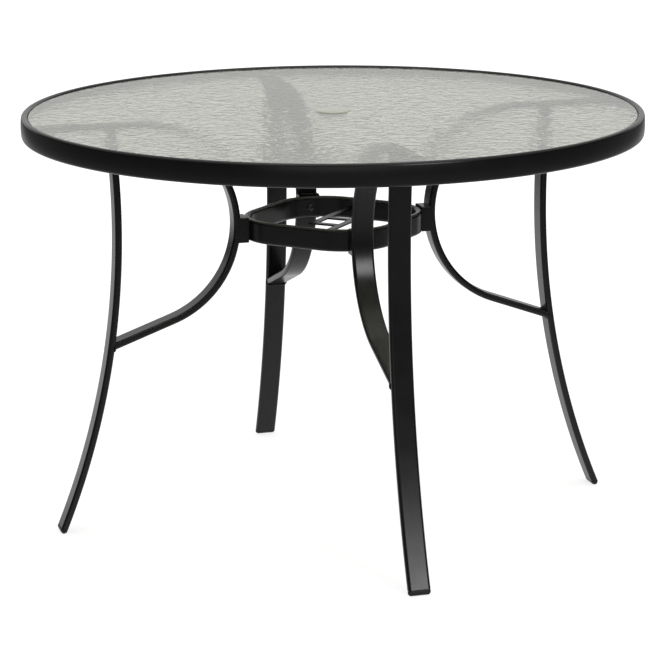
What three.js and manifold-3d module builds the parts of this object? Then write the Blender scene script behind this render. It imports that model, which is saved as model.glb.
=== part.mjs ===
// Round patio table with a glass top, a bent-tube frame and a hole for an umbrella pole.
//
// Millimetres, +Z up. The origin is on the floor, under the middle of the glass. The four leg
// frames stand on the +X, +Y, -X and -Y sides. Each leg frame is drawn once in its own plane,
// where x is the distance from the table's axis and z the height, and is then turned into place.
//
// The frame is made from one flat tube throughout: rim, legs, braces and centre hoop. The legs bow
// gently inwards. Each brace starts on the inner side of its leg, swings in towards the axis and
// returns under the glass, where it carries the glass on a pad, sits on top of the leg and runs out
// to the rim. The centre hoop ties the four braces together half way up their bends and carries two
// bent flat bars that leave a square opening for the pole, right under the hole in the glass.

import * as THREE from 'three';
import { mergeVertices } from 'three/addons/utils/BufferGeometryUtils.js';
import Module from 'manifold-3d';

// Driving dimensions.

const TABLE_DIAMETER = 1066.8;
const TABLE_HEIGHT = 714;
const LEG_COUNT = 4;

// Clearance left between two pieces that touch on the real table.
const FIT_GAP = 0.3;

// The flat tube.
const TUBE_WIDTH = 38;
const TUBE_THICKNESS = 12;
const TUBE_CORNER = 5;
const TUBE_WALL = 1.2;

// Glass top.
const GLASS_THICKNESS = 5;
const GLASS_RECESS = 3;
const GLASS_EDGE_GAP = 0.8;
const GLASS_EDGE_BEVEL = 1;
const HOLE_DIAMETER = 50;

// Soft pads between the braces and the glass.
const PAD_DIAMETER = 18;
const PAD_THICKNESS = 3.7;
const PAD_FROM_RIM = 70;
const PAD_BEVEL = 0.8;

// Legs: one arc whose waist is the place nearest to the table's axis.
const LEG_WAIST_INSET = 151.7;
const LEG_WAIST_HEIGHT = 540;
const LEG_BOW_RADIUS = 1370;

// Foot caps: a plug in the tube's end with a round nose that stands on a narrow flat.
const CAP_COLLAR = 2;
const CAP_PLUG_LENGTH = 20;
const CAP_FLAT_DEPTH = 0.5;
const CAP_NOSE_CORNER = 5;

// Braces: how near to the axis the tube comes, and how far short of the leg's waist the centres
// of its two bends stop.
const BRACE_REACH = 175.2;
const BRACE_UPPER_MARGIN = 36.5;
const BRACE_LOWER_MARGIN = 34.5;
const BRACE_FOOT_SLOPE = THREE.MathUtils.degToRad(20);

// Centre hoop: a rounded square with its corners towards the braces, hung a little below the place
// where the braces come nearest to the axis.
const HOOP_DROP = 11.2;
const HOOP_CORNER_RADIUS = 93.5;

// Saddle brackets between hoop and braces.
const BRACKET_DEPTH = 11.5;
const BRACKET_HEIGHT = 44;
const BRACKET_CORNER = 2;

// Umbrella guide: two bent flat bars around a square opening.
const GUIDE_OPENING = 40;
const GUIDE_BAR_WIDTH = 12;
const GUIDE_BAR_THICKNESS = 3;
const GUIDE_RISE = 2;
const GUIDE_TURN = THREE.MathUtils.degToRad(48);
const GUIDE_TAB_HEIGHT = 15;

// Tabs on the rim under the outer ends of the braces.
const TAB_LENGTH = 42;
const TAB_WIDTH = 28;
const TAB_THICKNESS = 4;
const TAB_CORNER = 6;

// Fasteners.
const BOLT_DIAMETER = 6;
const BOLT_HEAD_DIAMETER = 12;
const BOLT_HEAD_HEIGHT = 4;
const BOLT_HOLE_GAP = 0.3;
const BOLT_END = 4;
const RIVET_DIAMETER = 4;
const RIVET_HEAD_DIAMETER = 8;
const RIVET_HEAD_HEIGHT = 2;
const RIVET_DEPTH = 6;

// Plug for the hole in the glass.
const PLUG_FLANGE_DIAMETER = 60;
const PLUG_FLANGE_THICKNESS = 1.6;
const PLUG_CROWN = 1.2;
const PLUG_STEM_GAP = 0.5;
const PLUG_STEM_LENGTH = 16;
const PLUG_WALL = 2;

// Extra length of a cutting shape beyond what it cuts.
const CUT_OVERRUN = 5;

// Facets.

const CORNER_STEPS = 2;
const LEG_STEPS = 9;
const BRACE_LOWER_STEPS = 8;
const BRACE_UPPER_STEPS = 9;
const HOOP_CORNER_STEPS = 7;
const RIM_STEPS = 88;
const BOLT_STEPS = 12;
const ROUND_STEPS = 16;
const PLUG_STEPS = 28;
const NOSE_STEPS = 8;

// Derived sizes.

const QUARTER = Math.PI / 2;
const RIM_OUTER = TABLE_DIAMETER / 2;
const RIM_INNER = RIM_OUTER - TUBE_THICKNESS;
// Nearest distance of the rim's inner facets, which are chords of its circle.
const RIM_SEAT = RIM_INNER * Math.cos(Math.PI / RIM_STEPS);
const GLASS_TOP = TABLE_HEIGHT - GLASS_RECESS;
const GLASS_BOTTOM = GLASS_TOP - GLASS_THICKNESS;
const RUN_TOP = GLASS_BOTTOM - PAD_THICKNESS - 2 * FIT_GAP;
const RUN_Z = RUN_TOP - TUBE_THICKNESS / 2;
const RUN_BOTTOM = RUN_TOP - TUBE_THICKNESS;
// The run's square end stops short of the curved rim: its two corners come nearest.
const RUN_END = Math.sqrt(RIM_SEAT ** 2 - (TUBE_WIDTH / 2) ** 2) - FIT_GAP;

const LEG_WAIST_REACH = RIM_OUTER - LEG_WAIST_INSET;
const LEG_CENTRE_X = LEG_WAIST_REACH + LEG_BOW_RADIUS;

const BRACE_UPPER_RADIUS = LEG_WAIST_REACH - BRACE_UPPER_MARGIN - BRACE_REACH;
const BRACE_LOWER_RADIUS = LEG_WAIST_REACH - BRACE_LOWER_MARGIN - BRACE_REACH;
const APEX_Z = RUN_Z - BRACE_UPPER_RADIUS;

const HOOP_Z = APEX_Z - HOOP_DROP;
const HOOP_REACH = BRACE_REACH - TUBE_THICKNESS / 2 - BRACKET_DEPTH;
const HOOP_CORNER_CENTRE = HOOP_REACH - HOOP_CORNER_RADIUS;
const HOOP_SIDE = HOOP_CORNER_CENTRE * Math.SQRT1_2 + HOOP_CORNER_RADIUS;

const CAP_NOSE_RADIUS = TUBE_THICKNESS / 2;
const CAP_NOSE_Z = CAP_NOSE_RADIUS - CAP_FLAT_DEPTH;
const CAP_REACH = CAP_COLLAR + CAP_PLUG_LENGTH;

const BOLT_HOLE_RADIUS = BOLT_DIAMETER / 2 + BOLT_HOLE_GAP;
const RIVET_HOLE_RADIUS = RIVET_DIAMETER / 2 + BOLT_HOLE_GAP;

// Materials.

const powderCoat = { color: 0x1d1c1b, roughness: 0.42, metalness: 0.0 };
const darkSteel = { color: 0x24231f, roughness: 0.38, metalness: 0.6 };
const blackPlastic = { color: 0x161616, roughness: 0.55, metalness: 0.0 };
const glassLook = { color: 0xc5c8bd, roughness: 0.1, metalness: 0.0, transparent: true, opacity: 0.6 };
const clearVinyl = { color: 0xd8d9cf, roughness: 0.4, metalness: 0.0, transparent: true, opacity: 0.8 };
const palePlastic = { color: 0xcfd0c2, roughness: 0.45, metalness: 0.0 };

// Solids.

const wasm = await Module();
wasm.setup();

// A three.js geometry as a solid that can be joined and cut.
function toSolid(geometry) {
  const bare = geometry.clone();
  for (const name of Object.keys(bare.attributes)) {
    if (name !== 'position') bare.deleteAttribute(name);
  }
  const merged = mergeVertices(bare, 1e-4);
  return new wasm.Manifold(new wasm.Mesh({
    numProp: 3,
    vertProperties: new Float32Array(merged.attributes.position.array),
    triVerts: new Uint32Array(merged.index.array),
  }));
}

// A joined or cut solid as a geometry again.
function toGeometry(solid) {
  const mesh = solid.getMesh();
  const geometry = new THREE.BufferGeometry();
  geometry.setAttribute('position', new THREE.BufferAttribute(new Float32Array(mesh.vertProperties), 3));
  geometry.setIndex(new THREE.BufferAttribute(new Uint32Array(mesh.triVerts), 1));
  geometry.computeVertexNormals();
  return geometry;
}

// Outline of a rounded rectangle, anticlockwise, centred on the origin.
function roundedRectangle(width, height, corner, steps = CORNER_STEPS) {
  const points = [];
  const radius = Math.min(corner, width / 2, height / 2);
  const centres = [
    [width / 2 - radius, height / 2 - radius],
    [radius - width / 2, height / 2 - radius],
    [radius - width / 2, radius - height / 2],
    [width / 2 - radius, radius - height / 2],
  ];
  centres.forEach(([cx, cy], quadrant) => {
    for (let i = 0; i <= steps; i += 1) {
      const angle = QUARTER * (quadrant + i / steps);
      points.push(new THREE.Vector2(cx + radius * Math.cos(angle), cy + radius * Math.sin(angle)));
    }
  });
  return points;
}

// Cross-section of the flat tube: x across its width, y through its thickness.
function tubeSection() {
  const section = new THREE.Shape(roundedRectangle(TUBE_WIDTH, TUBE_THICKNESS, TUBE_CORNER));
  const hollowWidth = TUBE_WIDTH - 2 * TUBE_WALL;
  const hollowThickness = TUBE_THICKNESS - 2 * TUBE_WALL;
  const hollowCorner = TUBE_CORNER - TUBE_WALL;
  section.holes.push(new THREE.Path(roundedRectangle(hollowWidth, hollowThickness, hollowCorner, 1)));
  return section;
}

// The filled cross-section grown by a clearance, for cutting a neighbour.
function tubeEnvelopeSection(gap) {
  return new THREE.Shape(roundedRectangle(TUBE_WIDTH + 2 * gap, TUBE_THICKNESS + 2 * gap, TUBE_CORNER + gap));
}

// A path given by its stations, so that straight stretches need no steps between their ends.
class StationPath extends THREE.Curve {
  constructor(stations) {
    super();
    this.stations = stations;
  }

  station(t) {
    return this.stations[Math.round(t * (this.stations.length - 1))];
  }

  getPoint(t, target = new THREE.Vector3()) {
    return target.copy(this.station(t).point);
  }

  getPointAt(u, target = new THREE.Vector3()) {
    return this.getPoint(u, target);
  }

  getTangentAt(u, target = new THREE.Vector3()) {
    return target.copy(this.station(u).tangent);
  }
}

function station(x, z, tangentX, tangentZ) {
  return { point: new THREE.Vector3(x, 0, z), tangent: new THREE.Vector3(tangentX, 0, tangentZ).normalize() };
}

function sweep(section, stations) {
  return new THREE.ExtrudeGeometry(section, {
    steps: stations.length - 1,
    bevelEnabled: false,
    extrudePath: new StationPath(stations),
  });
}

// A cylinder along Z between two heights, at a given place.
function uprightCylinder(radius, x, y, low, high) {
  const geometry = new THREE.CylinderGeometry(radius, radius, high - low, BOLT_STEPS);
  geometry.rotateX(QUARTER);
  geometry.translate(x, y, (low + high) / 2);
  return geometry;
}

// A cylinder along X between two distances from the axis, at a given height.
function levelCylinder(radius, near, far, z) {
  const geometry = new THREE.CylinderGeometry(radius, radius, far - near, BOLT_STEPS);
  geometry.rotateZ(-QUARTER);
  geometry.translate((near + far) / 2, 0, z);
  return geometry;
}

// A body of revolution about Z from a profile of [radius, height] pairs.
function revolve(profile, steps) {
  const points = profile.map(([r, z]) => new THREE.Vector2(r, z));
  const geometry = new THREE.LatheGeometry(points, steps);
  geometry.rotateX(QUARTER);
  return geometry;
}

// Leg.

function legAngleAt(z) {
  return Math.asin((z - LEG_WAIST_HEIGHT) / LEG_BOW_RADIUS);
}

function legStation(angle) {
  return station(
    LEG_CENTRE_X - LEG_BOW_RADIUS * Math.cos(angle),
    LEG_WAIST_HEIGHT + LEG_BOW_RADIUS * Math.sin(angle),
    Math.sin(angle),
    Math.cos(angle),
  );
}

// The tube's lower end is straight where the foot cap's plug sits in it. This is the angle at which
// the bow begins, chosen so that the middle of the cap's nose comes to its height above the floor.
const bowStart = Math.asin((CAP_NOSE_Z - LEG_WAIST_HEIGHT) / Math.hypot(LEG_BOW_RADIUS, CAP_REACH))
  + Math.atan2(CAP_REACH, LEG_BOW_RADIUS);
const bowEnd = legAngleAt(RUN_Z);

// The middle of the foot cap's nose, on the leg's centreline, with the leg's direction there.
function noseStation() {
  const { point, tangent } = legStation(bowStart);
  return { point: point.clone().addScaledVector(tangent, -CAP_REACH), tangent };
}

function legStations() {
  const nose = noseStation();
  nose.point.addScaledVector(nose.tangent, CAP_COLLAR + FIT_GAP);
  const stations = [nose];
  for (let i = 0; i <= LEG_STEPS; i += 1) {
    stations.push(legStation(bowStart + (bowEnd - bowStart) * (i / LEG_STEPS)));
  }
  return stations;
}

// Brace.

// Where the straight foot of the brace meets the leg's centreline.
function braceFoot() {
  const swing = QUARTER - BRACE_FOOT_SLOPE;
  const centre = new THREE.Vector2(BRACE_REACH + BRACE_LOWER_RADIUS, APEX_Z);
  const bendEnd = new THREE.Vector2(
    centre.x - BRACE_LOWER_RADIUS * Math.cos(swing),
    centre.y - BRACE_LOWER_RADIUS * Math.sin(swing),
  );
  const direction = new THREE.Vector2(Math.cos(BRACE_FOOT_SLOPE), -Math.sin(BRACE_FOOT_SLOPE));
  const toBend = bendEnd.clone().sub(new THREE.Vector2(LEG_CENTRE_X, LEG_WAIST_HEIGHT));
  const along = toBend.dot(direction);
  const distance = -along - Math.sqrt(along ** 2 - (toBend.lengthSq() - LEG_BOW_RADIUS ** 2));
  return bendEnd.clone().addScaledVector(direction, distance);
}

function braceStations() {
  const foot = braceFoot();
  const swing = QUARTER - BRACE_FOOT_SLOPE;
  const stations = [station(foot.x, foot.y, -Math.cos(BRACE_FOOT_SLOPE), Math.sin(BRACE_FOOT_SLOPE))];
  const lowerCentre = BRACE_REACH + BRACE_LOWER_RADIUS;
  for (let i = 0; i < BRACE_LOWER_STEPS; i += 1) {
    const angle = swing * (1 - i / BRACE_LOWER_STEPS);
    stations.push(station(
      lowerCentre - BRACE_LOWER_RADIUS * Math.cos(angle),
      APEX_Z - BRACE_LOWER_RADIUS * Math.sin(angle),
      -Math.sin(angle),
      Math.cos(angle),
    ));
  }
  const upperCentre = BRACE_REACH + BRACE_UPPER_RADIUS;
  for (let i = 0; i <= BRACE_UPPER_STEPS; i += 1) {
    const angle = QUARTER * (i / BRACE_UPPER_STEPS);
    stations.push(station(
      upperCentre - BRACE_UPPER_RADIUS * Math.cos(angle),
      APEX_Z + BRACE_UPPER_RADIUS * Math.sin(angle),
      Math.sin(angle),
      Math.cos(angle),
    ));
  }
  stations.push(station(RUN_END, RUN_Z, 1, 0));
  return stations;
}

const legEnvelope = toSolid(sweep(tubeEnvelopeSection(FIT_GAP), legStations()));
const braceEnvelope = toSolid(sweep(tubeEnvelopeSection(FIT_GAP), braceStations()));

// The bolts that hold a leg frame: one through the rim's tab, one through hoop and bracket.
const TAB_BOLT_X = RUN_END - TAB_LENGTH / 2;
// The hoop's inner wall under the bolt's head is the flat of the corner's middle facet.
const HOOP_INNER_REACH = HOOP_CORNER_CENTRE
  + (HOOP_CORNER_RADIUS - TUBE_THICKNESS) * Math.cos(Math.PI / (LEG_COUNT * HOOP_CORNER_STEPS));

const legSolid = toSolid(sweep(tubeSection(), legStations())).subtract(braceEnvelope);

const braceSolid = toSolid(sweep(tubeSection(), braceStations()))
  .subtract(legEnvelope)
  .subtract(toSolid(uprightCylinder(
    BOLT_HOLE_RADIUS, TAB_BOLT_X, 0, RUN_BOTTOM - CUT_OVERRUN, RUN_BOTTOM + TUBE_THICKNESS / 2,
  )))
  .subtract(toSolid(levelCylinder(
    BOLT_HOLE_RADIUS, BRACE_REACH - TUBE_THICKNESS / 2 - CUT_OVERRUN, BRACE_REACH, HOOP_Z,
  )));

// Foot cap.

// Matrix that puts a shape drawn with z along the tube at a station of the leg.
function stationFrame({ point, tangent }) {
  const across = new THREE.Vector3(tangent.z, 0, -tangent.x);
  return new THREE.Matrix4()
    .makeBasis(across, new THREE.Vector3(0, 1, 0), tangent)
    .setPosition(point);
}

function footCap() {
  // Side view: thickness across, tube axis up, with a half-round nose.
  const side = new THREE.Shape();
  side.moveTo(-CAP_NOSE_RADIUS, CAP_COLLAR);
  side.lineTo(-CAP_NOSE_RADIUS, 0);
  side.absarc(0, 0, CAP_NOSE_RADIUS, Math.PI, 2 * Math.PI, false);
  side.lineTo(CAP_NOSE_RADIUS, CAP_COLLAR);
  side.closePath();
  const sideBlock = new THREE.ExtrudeGeometry(side, {
    depth: TUBE_WIDTH, bevelEnabled: false, curveSegments: NOSE_STEPS / 2,
  });
  sideBlock.rotateX(QUARTER);
  sideBlock.translate(0, TUBE_WIDTH / 2, 0);

  // Front view: the full width with its two lower corners rounded.
  const front = new THREE.ExtrudeGeometry(
    new THREE.Shape(roundedRectangle(TUBE_WIDTH, 2 * (CAP_NOSE_RADIUS + CAP_COLLAR), CAP_NOSE_CORNER)),
    { depth: TUBE_THICKNESS + 2 * CUT_OVERRUN, bevelEnabled: false },
  );
  front.translate(0, CAP_COLLAR, -TUBE_THICKNESS / 2 - CUT_OVERRUN);
  front.rotateX(QUARTER);
  front.rotateZ(QUARTER);

  // Seen along the tube: the tube's own outline.
  const outline = new THREE.ExtrudeGeometry(
    new THREE.Shape(roundedRectangle(TUBE_THICKNESS, TUBE_WIDTH, TUBE_CORNER)),
    { depth: CAP_NOSE_RADIUS + CAP_COLLAR + 2 * CUT_OVERRUN, bevelEnabled: false },
  );
  outline.translate(0, 0, -CAP_NOSE_RADIUS - CUT_OVERRUN);

  // Plug inside the tube.
  const plugInset = TUBE_WALL + FIT_GAP;
  const plug = new THREE.ExtrudeGeometry(
    new THREE.Shape(roundedRectangle(
      TUBE_THICKNESS - 2 * plugInset, TUBE_WIDTH - 2 * plugInset, TUBE_CORNER - plugInset, 1,
    )),
    { depth: CAP_PLUG_LENGTH + CAP_COLLAR / 2, bevelEnabled: false },
  );
  plug.translate(0, 0, CAP_COLLAR / 2);

  const floor = new THREE.BoxGeometry(TUBE_WIDTH * 2, TUBE_WIDTH * 2, TUBE_THICKNESS);
  floor.translate(noseStation().point.x, 0, -TUBE_THICKNESS / 2);

  const body = toSolid(sideBlock).intersect(toSolid(front)).intersect(toSolid(outline)).add(toSolid(plug));
  const placed = toGeometry(body).applyMatrix4(stationFrame(noseStation()));
  return toSolid(placed).subtract(toSolid(floor));
}

const footCapSolid = footCap();

// Centre hoop.

// Plan of the hoop, moved in or out by an offset: a rounded square with its corners on the axes.
function hoopPlan(offset) {
  const points = [];
  for (let corner = 0; corner < LEG_COUNT; corner += 1) {
    const facing = (2 * Math.PI * corner) / LEG_COUNT;
    for (let i = 0; i <= HOOP_CORNER_STEPS; i += 1) {
      const angle = facing + (Math.PI / LEG_COUNT) * ((2 * i) / HOOP_CORNER_STEPS - 1);
      points.push(new THREE.Vector2(
        HOOP_CORNER_CENTRE * Math.cos(facing) + (HOOP_CORNER_RADIUS + offset) * Math.cos(angle),
        HOOP_CORNER_CENTRE * Math.sin(facing) + (HOOP_CORNER_RADIUS + offset) * Math.sin(angle),
      ));
    }
  }
  return points;
}

// Everything inside a hoop outline between two heights.
function hoopPrism(offset, low, high) {
  const geometry = new THREE.ExtrudeGeometry(new THREE.Shape(hoopPlan(offset)), {
    depth: high - low, bevelEnabled: false,
  });
  geometry.translate(0, 0, low);
  return toSolid(geometry);
}

function hoopBand() {
  const plan = new THREE.Shape(hoopPlan(0));
  plan.holes.push(new THREE.Path(hoopPlan(-TUBE_THICKNESS)));
  const geometry = new THREE.ExtrudeGeometry(plan, {
    depth: TUBE_WIDTH - 2 * TUBE_CORNER,
    bevelEnabled: true,
    bevelThickness: TUBE_CORNER,
    bevelSize: TUBE_CORNER,
    bevelOffset: -TUBE_CORNER,
    bevelSegments: CORNER_STEPS,
  });
  geometry.translate(0, 0, HOOP_Z - TUBE_WIDTH / 2 + TUBE_CORNER);
  return toSolid(geometry);
}

// Umbrella guide.

const GUIDE_Z = HOOP_Z + GUIDE_RISE;
const GUIDE_OFFSET = (GUIDE_OPENING + GUIDE_BAR_WIDTH) / 2;
const HOOP_INNER_SIDE = HOOP_SIDE - TUBE_THICKNESS;
const sideNormal = new THREE.Vector2(Math.SQRT1_2, Math.SQRT1_2);
const guideAlong = new THREE.Vector2(Math.cos(GUIDE_TURN), Math.sin(GUIDE_TURN));
const guideAcross = new THREE.Vector2(-Math.sin(GUIDE_TURN), Math.cos(GUIDE_TURN));

// A flat bar between two points of its centreline, extended by half its width at the first.
function flatBar(from, to, startExtra) {
  const run = to.clone().sub(from);
  const length = run.length() + startExtra;
  const geometry = new THREE.BoxGeometry(length, GUIDE_BAR_WIDTH, GUIDE_BAR_THICKNESS);
  geometry.translate(length / 2 - startExtra, 0, 0);
  geometry.rotateZ(Math.atan2(run.y, run.x));
  geometry.translate(from.x, from.y, GUIDE_Z);
  return toSolid(geometry);
}

// Where the long arm's centreline meets the tab that lies on the hoop's inner wall.
const tabFaceDistance = HOOP_INNER_SIDE - FIT_GAP - GUIDE_BAR_THICKNESS / 2;
const guideCorner = guideAlong.clone().multiplyScalar(-GUIDE_OFFSET).addScaledVector(guideAcross, GUIDE_OFFSET);
const armLength = (tabFaceDistance - guideCorner.dot(sideNormal)) / guideAlong.dot(sideNormal);
const tabCentre = guideCorner.clone().addScaledVector(guideAlong, armLength);
const tabBottomZ = GUIDE_Z - GUIDE_BAR_THICKNESS / 2;
// The rivet sits at the middle of the tab's round end.
const rivetZ = tabBottomZ + GUIDE_TAB_HEIGHT - GUIDE_BAR_WIDTH / 2;

// Turns a shape drawn with x along the hoop side's normal into its place on the guide's tab.
function placeOnTab(geometry, distance) {
  geometry.rotateZ(Math.atan2(sideNormal.y, sideNormal.x));
  const along = sideNormal.clone().multiplyScalar(distance - tabCentre.dot(sideNormal));
  geometry.translate(tabCentre.x + along.x, tabCentre.y + along.y, 0);
  return geometry;
}

function rivetHole(near, far) {
  const geometry = new THREE.CylinderGeometry(RIVET_HOLE_RADIUS, RIVET_HOLE_RADIUS, far - near, BOLT_STEPS);
  geometry.rotateZ(-QUARTER);
  geometry.translate(0, 0, rivetZ);
  return toSolid(placeOnTab(geometry, (near + far) / 2));
}

function guideBar() {
  const shortEnd = guideCorner.clone()
    .addScaledVector(guideAcross, -(GUIDE_OPENING + GUIDE_BAR_WIDTH / 2 - FIT_GAP));
  const longArm = flatBar(guideCorner, tabCentre, GUIDE_BAR_WIDTH / 2);
  const shortArm = flatBar(guideCorner, shortEnd, GUIDE_BAR_WIDTH / 2);
  const outline = new THREE.Shape();
  outline.moveTo(GUIDE_BAR_WIDTH / 2, tabBottomZ);
  outline.lineTo(GUIDE_BAR_WIDTH / 2, rivetZ);
  outline.absarc(0, rivetZ, GUIDE_BAR_WIDTH / 2, 0, Math.PI, false);
  outline.lineTo(-GUIDE_BAR_WIDTH / 2, tabBottomZ);
  outline.closePath();
  const tab = new THREE.ExtrudeGeometry(outline, {
    depth: GUIDE_BAR_THICKNESS, bevelEnabled: false, curveSegments: NOSE_STEPS,
  });
  tab.translate(0, 0, -GUIDE_BAR_THICKNESS / 2);
  tab.rotateX(QUARTER);
  tab.rotateZ(QUARTER);
  return longArm.add(shortArm)
    .intersect(hoopPrism(-TUBE_THICKNESS - FIT_GAP, GUIDE_Z - TUBE_WIDTH, GUIDE_Z + TUBE_WIDTH))
    .add(toSolid(placeOnTab(tab, tabFaceDistance)))
    .subtract(rivetHole(tabFaceDistance - GUIDE_BAR_THICKNESS, HOOP_INNER_SIDE + CUT_OVERRUN));
}

const guideBarSolid = guideBar();

function halfTurn(solid) {
  return toSolid(toGeometry(solid).rotateZ(Math.PI));
}

// Saddle bracket.

function saddleBracket() {
  const near = HOOP_REACH - TUBE_THICKNESS / 2;
  const far = BRACE_REACH;
  const block = new THREE.ExtrudeGeometry(
    new THREE.Shape(roundedRectangle(BRACKET_HEIGHT, TUBE_WIDTH, BRACKET_CORNER)),
    { depth: far - near, bevelEnabled: false },
  );
  block.rotateY(QUARTER);
  block.translate(near, 0, HOOP_Z);
  return toSolid(block)
    .subtract(hoopPrism(FIT_GAP, HOOP_Z - BRACKET_HEIGHT, HOOP_Z + BRACKET_HEIGHT))
    .subtract(braceEnvelope)
    .subtract(toSolid(levelCylinder(BOLT_HOLE_RADIUS, near - CUT_OVERRUN, far, HOOP_Z)));
}

const bracketSolid = saddleBracket();

// Fasteners.

// A bolt along Z with a domed head whose underside is at height zero and its shank below.
function bolt(shankLength) {
  const head = BOLT_HEAD_DIAMETER / 2;
  return revolve([
    [0, -shankLength],
    [BOLT_DIAMETER / 2, -shankLength],
    [BOLT_DIAMETER / 2, 0],
    [head, 0],
    [head, BOLT_HEAD_HEIGHT / 2],
    [head * Math.SQRT1_2, BOLT_HEAD_HEIGHT - BOLT_HEAD_HEIGHT / 8],
    [0, BOLT_HEAD_HEIGHT],
  ], BOLT_STEPS);
}

// From the inside of the hoop through hoop, bracket and the brace's inner wall.
function hoopBolt() {
  const start = HOOP_INNER_REACH - FIT_GAP;
  const end = BRACE_REACH - TUBE_THICKNESS / 2 + TUBE_WALL + BOLT_END;
  const geometry = bolt(end - start);
  geometry.rotateY(-QUARTER);
  geometry.translate(start, 0, HOOP_Z);
  return geometry;
}

// From below through the rim's tab into the brace.
function tabBolt() {
  const start = RUN_BOTTOM - TAB_THICKNESS - 2 * FIT_GAP;
  const end = RUN_BOTTOM + TUBE_WALL + BOLT_END;
  const geometry = bolt(end - start);
  geometry.rotateX(Math.PI);
  geometry.translate(TAB_BOLT_X, 0, start);
  return geometry;
}

function guideRivet() {
  const start = tabFaceDistance - GUIDE_BAR_THICKNESS / 2 - FIT_GAP;
  const end = HOOP_INNER_SIDE + RIVET_DEPTH - FIT_GAP;
  const geometry = revolve([
    [0, start - end],
    [RIVET_DIAMETER / 2, start - end],
    [RIVET_DIAMETER / 2, 0],
    [RIVET_HEAD_DIAMETER / 2, 0],
    [RIVET_HEAD_DIAMETER / 2 * Math.SQRT1_2, RIVET_HEAD_HEIGHT * Math.SQRT1_2],
    [0, RIVET_HEAD_HEIGHT],
  ], BOLT_STEPS);
  geometry.rotateY(-QUARTER);
  geometry.translate(0, 0, rivetZ);
  return placeOnTab(geometry, start);
}

// Rim tab.

function rimTab() {
  const inner = RUN_END - TAB_LENGTH;
  const outer = Math.sqrt(RIM_SEAT ** 2 - (TAB_WIDTH / 2) ** 2) - FIT_GAP;
  const length = outer - inner;
  const plan = new THREE.Shape();
  plan.moveTo(outer, -TAB_WIDTH / 2);
  plan.lineTo(outer, TAB_WIDTH / 2);
  plan.lineTo(outer - length + TAB_CORNER, TAB_WIDTH / 2);
  plan.absarc(inner + TAB_CORNER, TAB_WIDTH / 2 - TAB_CORNER, TAB_CORNER, QUARTER, Math.PI, false);
  plan.absarc(inner + TAB_CORNER, TAB_CORNER - TAB_WIDTH / 2, TAB_CORNER, Math.PI, 3 * QUARTER, false);
  plan.closePath();
  const geometry = new THREE.ExtrudeGeometry(plan, {
    depth: TAB_THICKNESS, bevelEnabled: false, curveSegments: CORNER_STEPS - 1,
  });
  const top = RUN_BOTTOM - FIT_GAP;
  geometry.translate(0, 0, top - TAB_THICKNESS);
  return toSolid(geometry).subtract(toSolid(uprightCylinder(
    BOLT_HOLE_RADIUS, TAB_BOLT_X, 0, top - TAB_THICKNESS - CUT_OVERRUN, top + CUT_OVERRUN,
  )));
}

// Rim, glass, pads and plug.

function rim() {
  const middle = TABLE_HEIGHT - TUBE_WIDTH / 2;
  const outline = roundedRectangle(TUBE_THICKNESS, TUBE_WIDTH, TUBE_CORNER)
    .map((point) => [RIM_OUTER - TUBE_THICKNESS / 2 + point.x, middle + point.y]);
  return revolve([...outline, outline[0]], RIM_STEPS);
}

function glass() {
  const outer = RIM_INNER - GLASS_EDGE_GAP;
  const hole = HOLE_DIAMETER / 2;
  return revolve([
    [hole, GLASS_BOTTOM],
    [outer - GLASS_EDGE_BEVEL, GLASS_BOTTOM],
    [outer, GLASS_BOTTOM + GLASS_EDGE_BEVEL],
    [outer, GLASS_TOP - GLASS_EDGE_BEVEL],
    [outer - GLASS_EDGE_BEVEL, GLASS_TOP],
    [hole, GLASS_TOP],
    [hole, GLASS_BOTTOM],
  ], RIM_STEPS);
}

function pad() {
  const radius = PAD_DIAMETER / 2;
  const low = RUN_TOP + FIT_GAP;
  const high = low + PAD_THICKNESS;
  const geometry = revolve([
    [0, low],
    [radius, low],
    [radius, high - PAD_BEVEL],
    [radius - PAD_BEVEL, high],
    [0, high],
  ], ROUND_STEPS);
  geometry.translate(RIM_INNER - PAD_FROM_RIM, 0, 0);
  return geometry;
}

function holePlug() {
  const flange = PLUG_FLANGE_DIAMETER / 2;
  const stem = HOLE_DIAMETER / 2 - PLUG_STEM_GAP;
  const seat = GLASS_TOP + FIT_GAP;
  const top = seat + PLUG_FLANGE_THICKNESS;
  return revolve([
    [0, seat - PLUG_WALL + PLUG_CROWN],
    [stem - PLUG_WALL, seat - PLUG_WALL],
    [stem - PLUG_WALL, seat - PLUG_STEM_LENGTH],
    [stem, seat - PLUG_STEM_LENGTH],
    [stem, seat],
    [flange, seat],
    [flange, top - PLUG_FLANGE_THICKNESS / 2],
    [flange - PLUG_FLANGE_THICKNESS / 2, top],
    [flange / 2, top + PLUG_CROWN * 3 / 4],
    [0, top + PLUG_CROWN],
  ], PLUG_STEPS);
}

// The table.

const table = new THREE.Group();

function addPiece(parent, name, geometry, look) {
  const mesh = new THREE.Mesh(geometry, new THREE.MeshStandardMaterial(look));
  mesh.name = name;
  parent.add(mesh);
  return mesh;
}

addPiece(table, 'rim_frame', rim(), powderCoat);
addPiece(table, 'glass_top', glass(), glassLook);
addPiece(table, 'hole_plug', holePlug(), palePlastic);

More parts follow.
